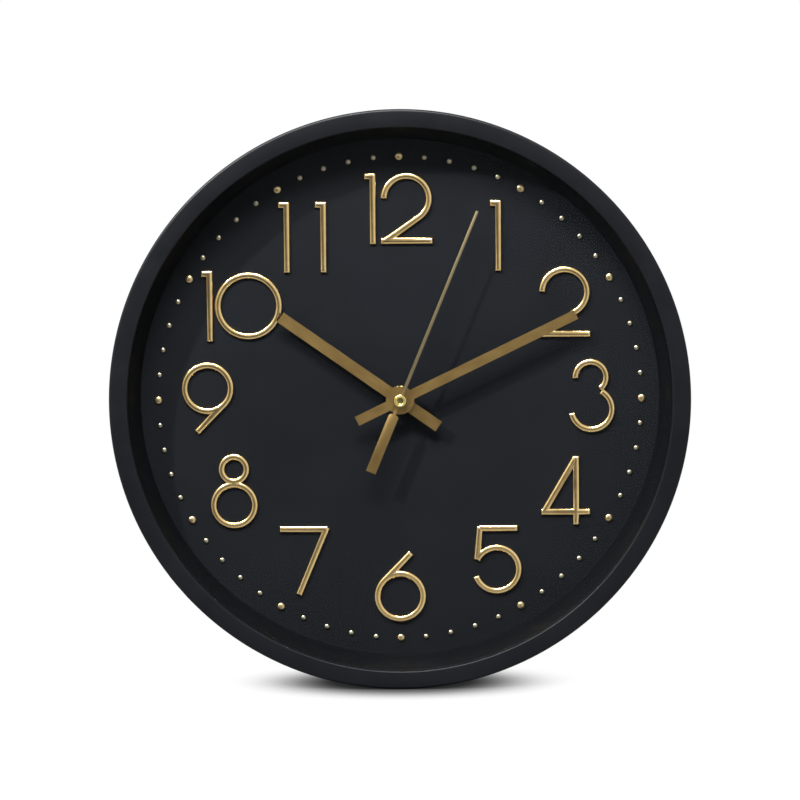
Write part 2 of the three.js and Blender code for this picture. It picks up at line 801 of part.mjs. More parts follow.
function hourWheel() {
  const rim = plate(wheelOutline(HOUR_STAGE, MOTION_AT), ...LEVEL.hour);
  const pipe = pin(2.6, LEVEL.hour[0], 27.9, 24);
  return cut(join(rim, pipe), pin(1.95, 15, 29, 20));
}

// ---------------------------------------------------------------- assembly
node("case_ring", caseRing(), MATERIAL.case);
node("lens", lens(), MATERIAL.glass);
node("spacer_ring", spacerRing(), MATERIAL.case);
node("dial", dial(), MATERIAL.dial);
bossPlaces().forEach(([x, y], i) => {
  node(`dial_screw_${i + 1}`, dialScrew(), MATERIAL.steel).position.set(x, y, 0);
});
addNumerals();
addHands();

node("movement_housing", movementHousing(), MATERIAL.movement);
node("movement_cover", movementCover(), MATERIAL.movement);
node("hanger", hanger(), MATERIAL.steel);
node("gasket", plate(round(12, 24), 19, 19.9, round(DIAL.hole, 20)), MATERIAL.rubber);
node("washer", plate(round(7, 24), 22.1, 22.6, round(BOSS.radius + 0.2, 20)), MATERIAL.brass);
node("hex_nut", hexNut(), MATERIAL.brass);
node("setting_knob", settingKnob(), MATERIAL.movement).position.set(MOTION.x, MOTION.y, 0);

const cellMiddle = (24.8 - 25.7) / 2;
node("battery", batteryCell(), MATERIAL.jacket).position.set(cellMiddle, CELL.y, CELL.z);
node("contact_positive", positiveContact(), MATERIAL.steel).position.set(-26.3, CELL.y, CELL.z);
node("contact_negative", negativeContact(), MATERIAL.steel).position.set(26.3, CELL.y, CELL.z);
node(
  "circuit_board",
  block(BOARD.x0, BOARD.x1, BOARD.y0, BOARD.y1, BOARD.back, BOARD.front),
  MATERIAL.board,
);
node("chip", chip(), MATERIAL.rubber).position.set(-19, -4, 0);
node("quartz_crystal", crystal(), MATERIAL.steel).position.set(-22.6, 6, BOARD.front + 1.3);
node("stator", statorPlate(), MATERIAL.steel);
node("coil_bobbin", coilBobbin(), MATERIAL.gear).position.set(COIL.x0, STATOR.coreY, COIL.z);
node("coil_winding", coilWinding(), MATERIAL.copper).position.set(COIL.x0, STATOR.coreY, COIL.z);

node("rotor_magnet", rotorMagnet(), MATERIAL.steel).position.set(ROTOR.x, ROTOR.y, 0);
node("rotor_pinion", rotorPinion(), MATERIAL.gear).position.set(ROTOR.x, ROTOR.y, 0);
node("intermediate_wheel", intermediateWheel(), MATERIAL.gear).position.set(INTERMEDIATE.x, INTERMEDIATE.y, 0);
node("second_wheel", secondWheel(), MATERIAL.gear);
node("third_wheel", thirdWheel(), MATERIAL.gear).position.set(THIRD.x, THIRD.y, 0);
node("centre_wheel", centreWheel(), MATERIAL.gear);
node("minute_pipe", minutePipe(), MATERIAL.brass);
node("motion_wheel", motionWheel(), MATERIAL.gear).position.set(MOTION.x, MOTION.y, 0);
node("hour_wheel", hourWheel(), MATERIAL.gear);

const clock = new THREE.Group();
clock.add(...nodes);
clock.rotation.x = Math.PI / 2;
clock.position.z = -KEYHOLE.y;

const part = new THREE.Group();
part.add(clock);
export default part;
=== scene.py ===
"""Round quartz wall clock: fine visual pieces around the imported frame.

Lengths are millimetres in the clock's own axes, as someone reading it sees them: x to their right, y up,
z towards them, the wall at z = 0 and the hands' axis through x = y = 0. TO_FRAME turns them into the
frame's metres.
"""
import json
import math

import bmesh
import bpy
from mathutils import Matrix, Vector

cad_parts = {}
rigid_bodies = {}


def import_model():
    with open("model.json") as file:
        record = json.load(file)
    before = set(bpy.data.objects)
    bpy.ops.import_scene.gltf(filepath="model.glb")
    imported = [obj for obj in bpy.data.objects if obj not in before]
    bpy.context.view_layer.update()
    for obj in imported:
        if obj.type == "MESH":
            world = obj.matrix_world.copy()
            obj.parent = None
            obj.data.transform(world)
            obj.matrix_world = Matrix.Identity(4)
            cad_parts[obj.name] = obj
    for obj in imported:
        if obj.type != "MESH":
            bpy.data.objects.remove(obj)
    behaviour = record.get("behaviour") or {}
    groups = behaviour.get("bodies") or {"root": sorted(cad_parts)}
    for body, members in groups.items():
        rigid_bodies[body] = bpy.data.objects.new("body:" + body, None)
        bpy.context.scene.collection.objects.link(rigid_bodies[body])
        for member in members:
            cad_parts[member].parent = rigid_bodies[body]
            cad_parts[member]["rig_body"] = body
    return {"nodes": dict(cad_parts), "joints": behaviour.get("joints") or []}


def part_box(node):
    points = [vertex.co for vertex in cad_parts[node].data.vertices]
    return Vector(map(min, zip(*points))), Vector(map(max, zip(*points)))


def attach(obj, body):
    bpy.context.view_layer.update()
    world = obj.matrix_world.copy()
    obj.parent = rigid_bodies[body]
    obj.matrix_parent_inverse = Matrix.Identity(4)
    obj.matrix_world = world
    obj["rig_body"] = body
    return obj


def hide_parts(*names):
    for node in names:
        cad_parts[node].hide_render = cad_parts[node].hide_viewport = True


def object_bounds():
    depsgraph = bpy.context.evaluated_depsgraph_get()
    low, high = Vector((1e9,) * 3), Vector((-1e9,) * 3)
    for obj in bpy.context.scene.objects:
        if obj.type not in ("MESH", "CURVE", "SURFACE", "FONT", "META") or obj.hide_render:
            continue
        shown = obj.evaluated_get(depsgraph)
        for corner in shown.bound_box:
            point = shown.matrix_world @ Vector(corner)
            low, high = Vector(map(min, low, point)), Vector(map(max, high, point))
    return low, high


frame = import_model()
cad_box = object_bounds()

# ------------------------------------------------------------------ the clock's axes and main sizes
MM = 0.001
AXIS = Vector(next(j for j in frame["joints"] if j["name"] == "minute_hand_turn")["pos_m"])
TO_FRAME = Matrix(((MM, 0, 0, AXIS.x), (0, 0, -MM, 0), (0, MM, 0, AXIS.z), (0, 0, 0, 1)))


def levels(node):
    """(back, front) of a CAD node, in the clock's millimetres."""
    low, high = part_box(node)
    return -high.y / MM, -low.y / MM


def half_width(node):
    low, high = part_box(node)
    return (high.x - low.x) / 2 / MM


CASE_RADIUS = half_width("case_ring")
CASE_FRONT = levels("case_ring")[1]
CASE_WALL = 2.4
LIP_RADIUS = CASE_RADIUS - 9.4
LENS_RADIUS = half_width("lens")
LENS_BACK, LENS_FRONT = levels("lens")
LIP_BACK = LENS_FRONT + 0.1
SPACER_BACK, SPACER_FRONT = levels("spacer_ring")
SPACER_WALL = 1.5
SPACER_FRONT_RADIUS = half_width("spacer_ring") - SPACER_WALL
SPACER_BACK_RADIUS = SPACER_FRONT_RADIUS - 5.3
DIAL_RADIUS = half_width("dial")
RIB_BACK = levels("dial")[0]
DIAL_BACK = RIB_BACK + 3
DIAL_FRONT = DIAL_BACK + 2
NUMERAL_BACK, NUMERAL_FRONT = levels("numeral_1")
NUMERAL_HEIGHT = 37
DOT_RING = 126.3
NUMERAL_HALF = 1.7
HUB_RADIUS = 7.3
ROUND = 256  # segments of a large circle
SMALL_ROUND = 64
BOSS_RING = 145.2
BOSS_ANGLES = [30 + 60 * i for i in range(6)]
HANDS_AT = {"hour": 305.0, "minute": 64.2, "second": 22.4}  # degrees clockwise from twelve
HOUR_HAND = {"length": 75.5, "tail": 24.5, "width": 6.0}
MINUTE_HAND = {"length": 101.5, "tail": 24.9, "width": 5.1}
HAND_THICK = 0.7
KNOB_AT = (12.452, -1.089)
MOVEMENT_HALF = 28
MOVEMENT_BACK, NECK_FRONT = levels("movement_housing")
MOVEMENT_FRONT = DIAL_BACK - 2
MOVEMENT_WALL = 1.4
BAY = (-27.2, -12.4)  # the battery bay's bottom and top, in y
CELL = {"radius": 7, "half": 25.25, "nub": 1.2, "x": -0.45, "y": -19.8, "z": 9.7}
AXIS_TO_HANGER_TOP = (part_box("hanger")[1].z - AXIS.z) / MM

# ------------------------------------------------------------------ camera, floor and light, in metres
ELEVATION = 5.0  # degrees the camera stands above the clock's own normal
DISTANCE = 1.25
SENSOR = 36
VIEW_WIDTH = 0.4116  # seen across the picture at the front of the case
AIM_ABOVE = 0.0012
ROLL = 0.29  # degrees
FLOOR_RADIUS = 0.5
FLOOR_FADE = (0.3, 0.48)  # where the floor starts to fade, and where it is gone
# The floor's shadow round the clock's foot is mostly painted: its glow is dimmed and the floor made solid
# in an oval.
PAINTED_SHADOW_OVAL = (0.097, 0.054)  # half the width and depth of the painted shadow, a dim oval round the clock's foot
PAINTED_SHADOW_GLOW = (0.02, 0.97)  # the floor's own light in the middle of the painted shadow, and outside it
PAINTED_SHADOW_GLOW_RISE = (0.35, 1)  # where it rises between the two, as shares of the oval
PAINTED_SHADOW_COVER = (1, 0.3)  # how solid the floor is in the painted shadow, and outside it
PAINTED_SHADOW_COVER_FALL = (0.5, 1.1)
ROOM = 0.85  # the room's light at the sides and above
ROOM_BELOW = 0.55
ROOM_HEIGHTS = (-0.6, 0.3)  # between these heights of a direction, it goes from below to above
FRONT_SHADE = 0.11  # the share of the room's light that is left in the middle of the dark part
DARK_TOWARDS = (-0.2, -1, -0.25)
DARK_EDGES = (35, 10)  # degrees from the middle of the dark part to its outer and inner edge
KEY_LIGHT = {"direction": (-0.1, -0.52, 0.82), "distance": 0.95, "size": (0.56, 0.26), "power": 22}
LEFT_LIGHT = {"direction": (-0.63, -0.454, 0.67), "distance": 1.2, "size": (0.035, 0.035), "power": 22}


def polar(radius, degrees):
    angle = math.radians(degrees)
    return radius * math.cos(angle), radius * math.sin(angle)


def clock_angle(degrees):
    """The angle, anticlockwise from x, of a direction given clockwise from twelve."""
    return 90 - degrees


# ------------------------------------------------------------------ materials
def new_material(name):
    material = bpy.data.materials.new(name)
    material.use_nodes = True
    nodes = material.node_tree.nodes
    nodes.clear()
    output = nodes.new("ShaderNodeOutputMaterial")
    shader = nodes.new("ShaderNodeBsdfPrincipled")
    material.node_tree.links.new(shader.outputs[0], output.inputs["Surface"])
    return material, shader


class Nodes:
    """Short calls for building one material's node tree."""

    def __init__(self, material):
        self.tree = material.node_tree
        self.coordinates = self.tree.nodes.new("ShaderNodeTexCoord").outputs["Object"]

    def link(self, source, target):
        self.tree.links.new(source, target)

    def stretched(self, scale):
        mapping = self.tree.nodes.new("ShaderNodeMapping")
        mapping.inputs["Scale"].default_value = scale
        self.link(self.coordinates, mapping.inputs["Vector"])
        return mapping.outputs[0]

    def noise(self, size_mm, detail=3, stretch=(1, 1, 1), distortion=0):
        """Noise whose blobs are about size_mm across, before stretching."""
        noise = self.tree.nodes.new("ShaderNodeTexNoise")
        self.link(self.stretched(stretch), noise.inputs["Vector"])
        noise.inputs["Scale"].default_value = 1 / (size_mm * MM)
        noise.inputs["Detail"].default_value = detail
        noise.inputs["Distortion"].default_value = distortion
        return noise.outputs["Fac"]

    def ramp(self, factor, low, high, start=0.35, end=0.65):
        """A colour from low to high as factor goes from start to end."""
        ramp = self.tree.nodes.new("ShaderNodeValToRGB")
        ramp.color_ramp.elements[0].position = start
        ramp.color_ramp.elements[1].position = end
        ramp.color_ramp.elements[0].color = (*low, 1)
        ramp.color_ramp.elements[1].color = (*high, 1)
        self.link(factor, ramp.inputs["Fac"])
        return ramp.outputs["Color"]

    def coordinate(self, axis):
        split = self.tree.nodes.new("ShaderNodeSeparateXYZ")
        self.link(self.coordinates, split.inputs[0])
        return split.outputs[axis]

    def blend(self, factor, low, high):
        """From the colour output low to the fixed colour high."""
        mix = self.tree.nodes.new("ShaderNodeMix")
        mix.data_type = "RGBA"
        self.link(factor, mix.inputs["Factor"])
        self.link(low, mix.inputs[6])
        mix.inputs[7].default_value = (*high, 1)
        return mix.outputs[2]

    def product(self, a, b):
        product = self.tree.nodes.new("ShaderNodeMath")
        product.operation = "MULTIPLY"
        self.link(a, product.inputs[0])
        self.link(b, product.inputs[1])
        return product.outputs[0]

    def length(self, vector):
        length = self.tree.nodes.new("ShaderNodeVectorMath")
        length.operation = "LENGTH"
        self.link(vector, length.inputs[0])
        return length.outputs["Value"]

    def between(self, factor, low, high, start=0.35, end=0.65, smooth=False):
        """A number from low to high as factor goes from start to end."""
        remap = self.tree.nodes.new("ShaderNodeMapRange")
        remap.interpolation_type = "SMOOTHSTEP" if smooth else "LINEAR"
        remap.inputs["From Min"].default_value = start
        remap.inputs["From Max"].default_value = end
        remap.inputs["To Min"].default_value = low
        remap.inputs["To Max"].default_value = high
        self.link(factor, remap.inputs["Value"])
        return remap.outputs["Result"]

    def bump(self, height, depth_mm, strength=1, after=None):
        bump = self.tree.nodes.new("ShaderNodeBump")
        bump.inputs["Distance"].default_value = depth_mm * MM
        bump.inputs["Strength"].default_value = strength
        self.link(height, bump.inputs["Height"])
        if after is not None:
            self.link(after, bump.inputs["Normal"])
        return bump.outputs["Normal"]


def surface(name, low, high, rough, metal=0.0, blotch_mm=30, grain_mm=0.5, grain_depth=0.01, **fixed):
    """A material with slow colour variation, uneven roughness and fine grain."""
    material, shader = new_material(name)
    nodes = Nodes(material)
    nodes.link(nodes.ramp(nodes.noise(blotch_mm, 4), low, high), shader.inputs["Base Color"])
    nodes.link(nodes.between(nodes.noise(blotch_mm / 3, 5), *rough), shader.inputs["Roughness"])
    nodes.link(nodes.bump(nodes.noise(grain_mm, 2), grain_depth), shader.inputs["Normal"])
    shader.inputs["Metallic"].default_value = metal
    for socket, value in fixed.items():
        shader.inputs[socket.replace("_", " ")].default_value = value
    return material


PALER_BETWEEN = (-4 * MM, 8 * MM)  # where, along a brushed object's y axis, it turns paler


def brushed(name, low, high, rough, line_mm=0.12, length_ratio=60, depth=0.006, paler=None):
    """Metal brushed along its object's y axis, which may turn to another colour towards its far end."""
    material, shader = new_material(name)
    nodes = Nodes(material)
    along = (1, 1 / length_ratio, 1)
    lines = nodes.noise(line_mm, 3, along)
    slow = nodes.noise(6, 3, (1, 0.5, 1))
    colour = nodes.ramp(slow, low, high)
    if paler:
        beyond = nodes.between(nodes.coordinate("Y"), 0, 1, *PALER_BETWEEN)
        colour = nodes.blend(beyond, colour, paler)
    nodes.link(colour, shader.inputs["Base Color"])
    nodes.link(nodes.between(lines, *rough), shader.inputs["Roughness"])
    nodes.link(nodes.bump(lines, depth), shader.inputs["Normal"])
    shader.inputs["Metallic"].default_value = 1
    return material


GLASS_GLOSS = 0.0032  # the share of light each face of the glass mirrors, seen straight on
SCHLICK_POWER = 5


def clear_glass(name):
    """Clear flat glass: it lets everything through and takes a weak gloss that grows at grazing angles.

    The gloss follows Schlick's rule from Facing, which is the same on both faces. The Fresnel node turns
    the back face into a mirror at steep angles, which hides the numerals from above.
    """
    material = bpy.data.materials.new(name)
    material.use_nodes = True
    tree = material.node_tree
    tree.nodes.clear()
    output = tree.nodes.new("ShaderNodeOutputMaterial")
    mix = tree.nodes.new("ShaderNodeMixShader")
    through = tree.nodes.new("ShaderNodeBsdfTransparent")
    gloss = tree.nodes.new("ShaderNodeBsdfGlossy")
    facing = tree.nodes.new("ShaderNodeLayerWeight")
    steep = tree.nodes.new("ShaderNodeMath")
    strength = tree.nodes.new("ShaderNodeMapRange")
    through.inputs["Color"].default_value = (0.985, 0.992, 0.99, 1)
    gloss.inputs["Roughness"].default_value = 0.02
    facing.inputs["Blend"].default_value = 0.5
    steep.operation = "POWER"
    steep.inputs[1].default_value = SCHLICK_POWER
    strength.inputs["To Min"].default_value = GLASS_GLOSS
    tree.links.new(facing.outputs["Facing"], steep.inputs[0])
    tree.links.new(steep.outputs[0], strength.inputs["Value"])
    tree.links.new(strength.outputs["Result"], mix.inputs["Fac"])
    tree.links.new(through.outputs[0], mix.inputs[1])
    tree.links.new(gloss.outputs[0], mix.inputs[2])
    tree.links.new(mix.outputs[0], output.inputs["Surface"])
    return material


CASE = surface("case_satin_black", (0.0028, 0.0032, 0.0044), (0.0036, 0.0042, 0.0056), (0.38, 0.44),
               blotch_mm=40, grain_mm=0.25, grain_depth=0.002, Specular_IOR_Level=0.17)
SPACER = surface("spacer_black", (0.0021, 0.0024, 0.003), (0.0026, 0.0029, 0.0036), (0.42, 0.46),
                 blotch_mm=60, grain_mm=0.5, grain_depth=0.0006, Specular_IOR_Level=0.1)
DIAL = surface("dial_matte_black", (0.0053, 0.006, 0.0075), (0.0063, 0.0071, 0.009), (0.52, 0.6),
               blotch_mm=55, grain_mm=0.35, grain_depth=0.004, Specular_IOR_Level=0.06)
GOLD = surface("gold_foil", (0.87, 0.6, 0.26), (0.97, 0.7, 0.33), (0.19, 0.24), metal=1,
               blotch_mm=8, grain_mm=0.6, grain_depth=0.006)
PALE_DOT = surface("champagne_dot", (0.43, 0.385, 0.26), (0.52, 0.465, 0.32), (0.3, 0.36), metal=1,
                   blotch_mm=30, grain_mm=0.4, grain_depth=0.004)
GOLD_DOT = surface("gold_dot", (0.58, 0.44, 0.22), (0.68, 0.52, 0.28), (0.26, 0.32), metal=1,
                   blotch_mm=30, grain_mm=0.4, grain_depth=0.004)
HAND = brushed("brushed_gold_lacquer", (0.272, 0.173, 0.062), (0.33, 0.215, 0.08), (0.36, 0.5))
THIN_HAND = brushed("brushed_gold_second_hand", (0.26, 0.167, 0.06), (0.31, 0.202, 0.075), (0.4, 0.52),
                    paler=(0.19, 0.15, 0.082))
BRASS = surface("turned_brass", (0.94, 0.76, 0.27), (0.98, 0.83, 0.34), (0.1, 0.18), metal=1,
                blotch_mm=4, grain_mm=0.3, grain_depth=0.003)
GLASS = clear_glass("clear_glass")
STEEL = surface("zinc_plated_steel", (0.52, 0.53, 0.55), (0.62, 0.62, 0.63), (0.28, 0.42), metal=1,
                blotch_mm=5, grain_mm=0.4, grain_depth=0.006)
MOVEMENT = surface("movement_black", (0.014, 0.014, 0.015), (0.022, 0.022, 0.023), (0.42, 0.55),
                   blotch_mm=12, grain_mm=0.45, grain_depth=0.03)
RUBBER = surface("soft_rubber", (0.012, 0.012, 0.012), (0.02, 0.02, 0.02), (0.8, 0.9), blotch_mm=6)
GEAR = surface("white_acetal", (0.74, 0.72, 0.66), (0.82, 0.8, 0.75), (0.35, 0.45), blotch_mm=5)
COPPER = brushed("copper_wire", (0.6, 0.22, 0.09), (0.72, 0.3, 0.13), (0.25, 0.45), line_mm=0.2)
BOARD = surface("board_green", (0.01, 0.09, 0.03), (0.015, 0.13, 0.045), (0.35, 0.5), blotch_mm=3)
EPOXY = surface("black_potting", (0.008, 0.008, 0.008), (0.014, 0.014, 0.014), (0.25, 0.4), blotch_mm=3)
MAGNET = surface("sintered_magnet", (0.06, 0.06, 0.065), (0.1, 0.1, 0.105), (0.45, 0.6), metal=0.6,
                 blotch_mm=2)
JACKET = surface("battery_jacket", (0.15, 0.16, 0.17), (0.18, 0.19, 0.2), (0.3, 0.42), blotch_mm=8)
BAND = surface("battery_band", (0.34, 0.35, 0.36), (0.4, 0.41, 0.42), (0.26, 0.36), blotch_mm=8)


# ------------------------------------------------------------------ mesh tools
def lathe(bm, profile, segments, x=0, y=0):
    """Turns (radius, z) points about the z axis through (x, y).

    The profile closes on itself, or starts and ends on the axis.
    """
    rings = []
    for radius, z in profile:
        if radius == 0:
            rings.append([bm.verts.new((x, y, z))] * segments)
            continue
        angles = [360 * i / segments for i in range(segments)]
        around = [polar(radius, a) for a in angles]
        rings.append([bm.verts.new((x + across, y + up, z)) for across, up in around])
    closed = profile[0][0] > 0
    pairs = list(zip(rings, rings[1:] + rings[:1])) if closed else list(zip(rings, rings[1:]))
    for lower, upper in pairs:
        for i in range(segments):
            k = (i + 1) % segments
            corners = [lower[i], lower[k], upper[k], upper[i]]
            unique = list(dict.fromkeys(corners))
            if len(unique) > 2:
                bm.faces.new(unique)


def rounded(corners, steps=5):
    """A closed outline of (a, b, fillet) corners with each corner rounded to its fillet's radius."""
    points = []
    count = len(corners)
    for i, (a, b, fillet) in enumerate(corners):
        here = Vector((a, b))
        if fillet == 0:
            points.append((a, b))
            continue
        before = (Vector(corners[i - 1][:2]) - here).normalized()
        after = (Vector(corners[(i + 1) % count][:2]) - here).normalized()
        half = before.angle(after) / 2
        centre = here + (before + after).normalized() * (fillet / math.sin(half))
        start = here + before * (fillet / math.tan(half)) - centre
        end = here + after * (fillet / math.tan(half)) - centre
        turn = start.angle_signed(end)
        for step in range(steps + 1):
            angle = -turn * step / steps
            arm = Vector((start.x * math.cos(angle) - start.y * math.sin(angle),
                          start.x * math.sin(angle) + start.y * math.cos(angle)))
            points.append(tuple(centre + arm))
    return points


def circle(radius, count, x=0, y=0):
    arms = [polar(radius, 360 * i / count) for i in range(count)]
    return [(x + across, y + up) for across, up in arms]


def prism(bm, outline, z0, z1):
    """A straight solid with the given outline, from z0 to z1."""
    lower = [bm.verts.new((x, y, z0)) for x, y in outline]
    upper = [bm.verts.new((x, y, z1)) for x, y in outline]
    bm.faces.new(lower[::-1])
    bm.faces.new(upper)
    for i in range(len(outline)):
        k = (i + 1) % len(outline)
        bm.faces.new((lower[i], lower[k], upper[k], upper[i]))


def box_outline(x0, x1, y0, y1):
    return [(x0, y0), (x1, y0), (x1, y1), (x0, y1)]


def shell(*builders):
    """A mesh from calls that each add one solid to a bmesh."""
    bm = bmesh.new()
    for build in builders:
        build(bm)
    bmesh.ops.recalc_face_normals(bm, faces=bm.faces)
    mesh = bpy.data.meshes.new("solid")
    bm.to_mesh(mesh)
    bm.free()
    return mesh


def turned(profile, segments=SMALL_ROUND, x=0, y=0):
    return shell(lambda bm: lathe(bm, profile, segments, x, y))


def slab(outline, z0, z1):
    return shell(lambda bm: prism(bm, outline, z0, z1))


def disc(radius, z0, z1, segments=SMALL_ROUND, x=0, y=0):
    return slab(circle(radius, segments, x, y), z0, z1)


def cuboid(x0, x1, y0, y1, z0, z1):
    return slab(box_outline(x0, x1, y0, y1), z0, z1)


def with_modifiers(mesh, add):
    """A copy of the mesh with the modifiers that add puts on an object applied."""
    holder = bpy.data.objects.new("holder", mesh)
    bpy.context.scene.collection.objects.link(holder)
    extra = add(holder) or []
    bpy.context.view_layer.update()
    graph = bpy.context.evaluated_depsgraph_get()
    result = bpy.data.meshes.new_from_object(holder.evaluated_get(graph))
    for thing in [holder, *extra]:
        bpy.data.objects.remove(thing)
    return result


def boolean(mesh, others, operation):
    """Joins others to a solid, cuts them from it, or keeps what they share."""
    for other in others:
        def add(holder, other=other):
            tool = bpy.data.objects.new("tool", other)
            bpy.context.scene.collection.objects.link(tool)
            modifier = holder.modifiers.new("boolean", "BOOLEAN")
            modifier.operation = operation
            modifier.solver = "MANIFOLD"
            modifier.object = tool
            return [tool]

        mesh = with_modifiers(mesh, add)
    return mesh


def union(mesh, *others):
    return boolean(mesh, others, "UNION")


def cut(mesh, *others):
    return boolean(mesh, others, "DIFFERENCE")


def bevelled(mesh, width, segments=2, angle=35):
    """The mesh with each edge sharper than angle rounded by width."""

    def add(holder):
        modifier = holder.modifiers.new("bevel", "BEVEL")
        modifier.width = width
        modifier.segments = segments
        modifier.limit_method = "ANGLE"
        modifier.angle_limit = math.radians(angle)
        modifier.use_clamp_overlap = True

    return with_modifiers(mesh, add)


def joined(*meshes):
    """Separate closed solids in one mesh."""
    bm = bmesh.new()
    for mesh in meshes:
        bm.from_mesh(mesh)
    result = bpy.data.meshes.new("solid")
    bm.to_mesh(result)
    bm.free()
    return result


def piece(name, mesh, material, body, replaces=(), place=TO_FRAME, crease=32):
    """Puts a mesh in the scene as a piece that rides on a body."""
    obj = bpy.data.objects.new(name, mesh)
    mesh.name = name
    mesh.transform(Matrix.Diagonal((MM, MM, MM, 1)))
    obj.matrix_world = place @ Matrix.Diagonal((1 / MM, 1 / MM, 1 / MM, 1))
    bpy.context.scene.collection.objects.link(obj)
    mesh.materials.clear()
    mesh.materials.append(material)
    mesh.shade_smooth()
    mesh.set_sharp_from_angle(angle=math.radians(crease))
    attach(obj, body)
    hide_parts(*replaces)
    return obj


# ------------------------------------------------------------------ case, spacer, glass and dial
def case_ring():
    inside = CASE_RADIUS - CASE_WALL
    profile = rounded([
        (inside, 0, 0.3),
        (CASE_RADIUS, 0, 0.6),
        (CASE_RADIUS, CASE_FRONT, 1.4),
        (LIP_RADIUS, CASE_FRONT - 0.3, 0.7),
        (LIP_RADIUS, LIP_BACK, 0.2),
        (inside, LIP_BACK, 0.5),
    ])
    ring = turned(profile, ROUND)
    places = [polar(BOSS_RING, a) for a in BOSS_ANGLES]
    bosses = [disc(2.6, DIAL_FRONT + 0.1, LIP_BACK + 0.5, 32, x, y) for x, y in places]
    holes = [disc(1.3, DIAL_FRONT, DIAL_FRONT + 10, 24, x, y) for x, y in places]
    mesh = cut(union(ring, joined(*bosses)), joined(*holes))
    piece("case_shell", mesh, CASE, "case", ["case_ring"])


def spacer():
    profile = rounded([
        (SPACER_BACK_RADIUS, SPACER_BACK, 0.1),
        (SPACER_BACK_RADIUS + SPACER_WALL, SPACER_BACK, 0.1),
        (SPACER_FRONT_RADIUS + SPACER_WALL, SPACER_FRONT, 0.1),
        (SPACER_FRONT_RADIUS, SPACER_FRONT, 0.3),
    ], 3)
    piece("spacer_cone", turned(profile, ROUND), SPACER, "case", ["spacer_ring"])


def lens():
    edge = 0.3
    profile = rounded([(0, LENS_BACK, 0), (LENS_RADIUS, LENS_BACK, edge), (LENS_RADIUS, LENS_FRONT, edge),
                       (0, LENS_FRONT, 0)], 3)
    piece("glass_lens", turned(profile, ROUND), GLASS, "case", ["lens"])


def dial():
    hole, inner, outer, thick = 4.4, 52, 134, 1.4
    profile = [
        (hole, DIAL_BACK), (inner - thick, DIAL_BACK), (inner - thick, RIB_BACK), (inner, RIB_BACK),
        (inner, DIAL_BACK), (outer, DIAL_BACK), (outer, RIB_BACK), (outer + thick, RIB_BACK),
        (outer + thick, DIAL_BACK), (DIAL_RADIUS, DIAL_BACK), (DIAL_RADIUS, DIAL_FRONT), (hole, DIAL_FRONT),
    ]
    half = thick / 2
    top = DIAL_BACK + 0.2
    ribs = []
    for i in range(8):
        rib = cuboid(inner - half, outer + half, -half, half, RIB_BACK, top)
        rib.transform(Matrix.Rotation(math.radians(45 * (i + 0.5)), 4, "Z"))
        ribs.append(rib)
    near, far, reach = 28.7, 28.7 + thick, 16
    corners = []
    for i in range(4):
        outline = [(reach, near), (near, near), (near, reach), (far, reach), (far, far), (reach, far)]
        corner = slab(outline[::-1], RIB_BACK, top)
        corner.transform(Matrix.Rotation(math.radians(90 * i), 4, "Z"))
        corners.append(corner)
    holes = [disc(1.4, DIAL_BACK - 1, DIAL_FRONT + 1, 24, *polar(BOSS_RING, a)) for a in BOSS_ANGLES]
    mesh = turned(profile, ROUND)
    mesh = union(mesh, joined(*ribs), joined(*corners))
    mesh = cut(mesh, joined(*holes))
    piece("dial_plate", mesh, DIAL, "case", ["dial"])


def dome(radius, height, x, y):
    """A low round bead with a short upright rim."""
    rim = height * 0.25
    steps = 7
    profile = [(0, DIAL_FRONT + 0.01), (radius, DIAL_FRONT + 0.01)]
    for i in range(steps):
        angle = math.pi / 2 * i / steps
        profile.append((radius * math.cos(angle), DIAL_FRONT + rim + (height - rim) * math.sin(angle)))
    profile.append((0, DIAL_FRONT + height))
    return turned(profile, 28, x, y)


def minute_dots():
    """Sixty foiled beads, which the CAD makes as bosses of the dial. Every fifth is larger."""
    hour, minute = [], []
    for i in range(60):
        x, y = polar(DOT_RING, clock_angle(6 * i))
        if i % 5 == 0:
            hour.append(dome(2.0, 1.2, x, y))
        else:
            minute.append(dome(1.3, 1.0, x, y))
    piece("hour_dots", joined(*hour), GOLD_DOT, "case")
    piece("minute_dots", joined(*minute), PALE_DOT, "case")


# ------------------------------------------------------------------ numerals
DOME_STEPS = 12
UPRIGHT = 0.35  # height of the upright side below the domed face


def dome_height(distance):
    """Height above the dial side of the numeral at a distance from its outline."""
    lateral = 1 - min(distance / NUMERAL_HALF, 1)
    crown = NUMERAL_FRONT - NUMERAL_BACK - UPRIGHT
    return NUMERAL_BACK + UPRIGHT + crown * (1 - lateral ** 2.3) ** (1 / 2.3)


ACROSS = [math.sin(math.pi / 2 * (2 * i / DOME_STEPS - 1)) for i in range(DOME_STEPS + 1)]


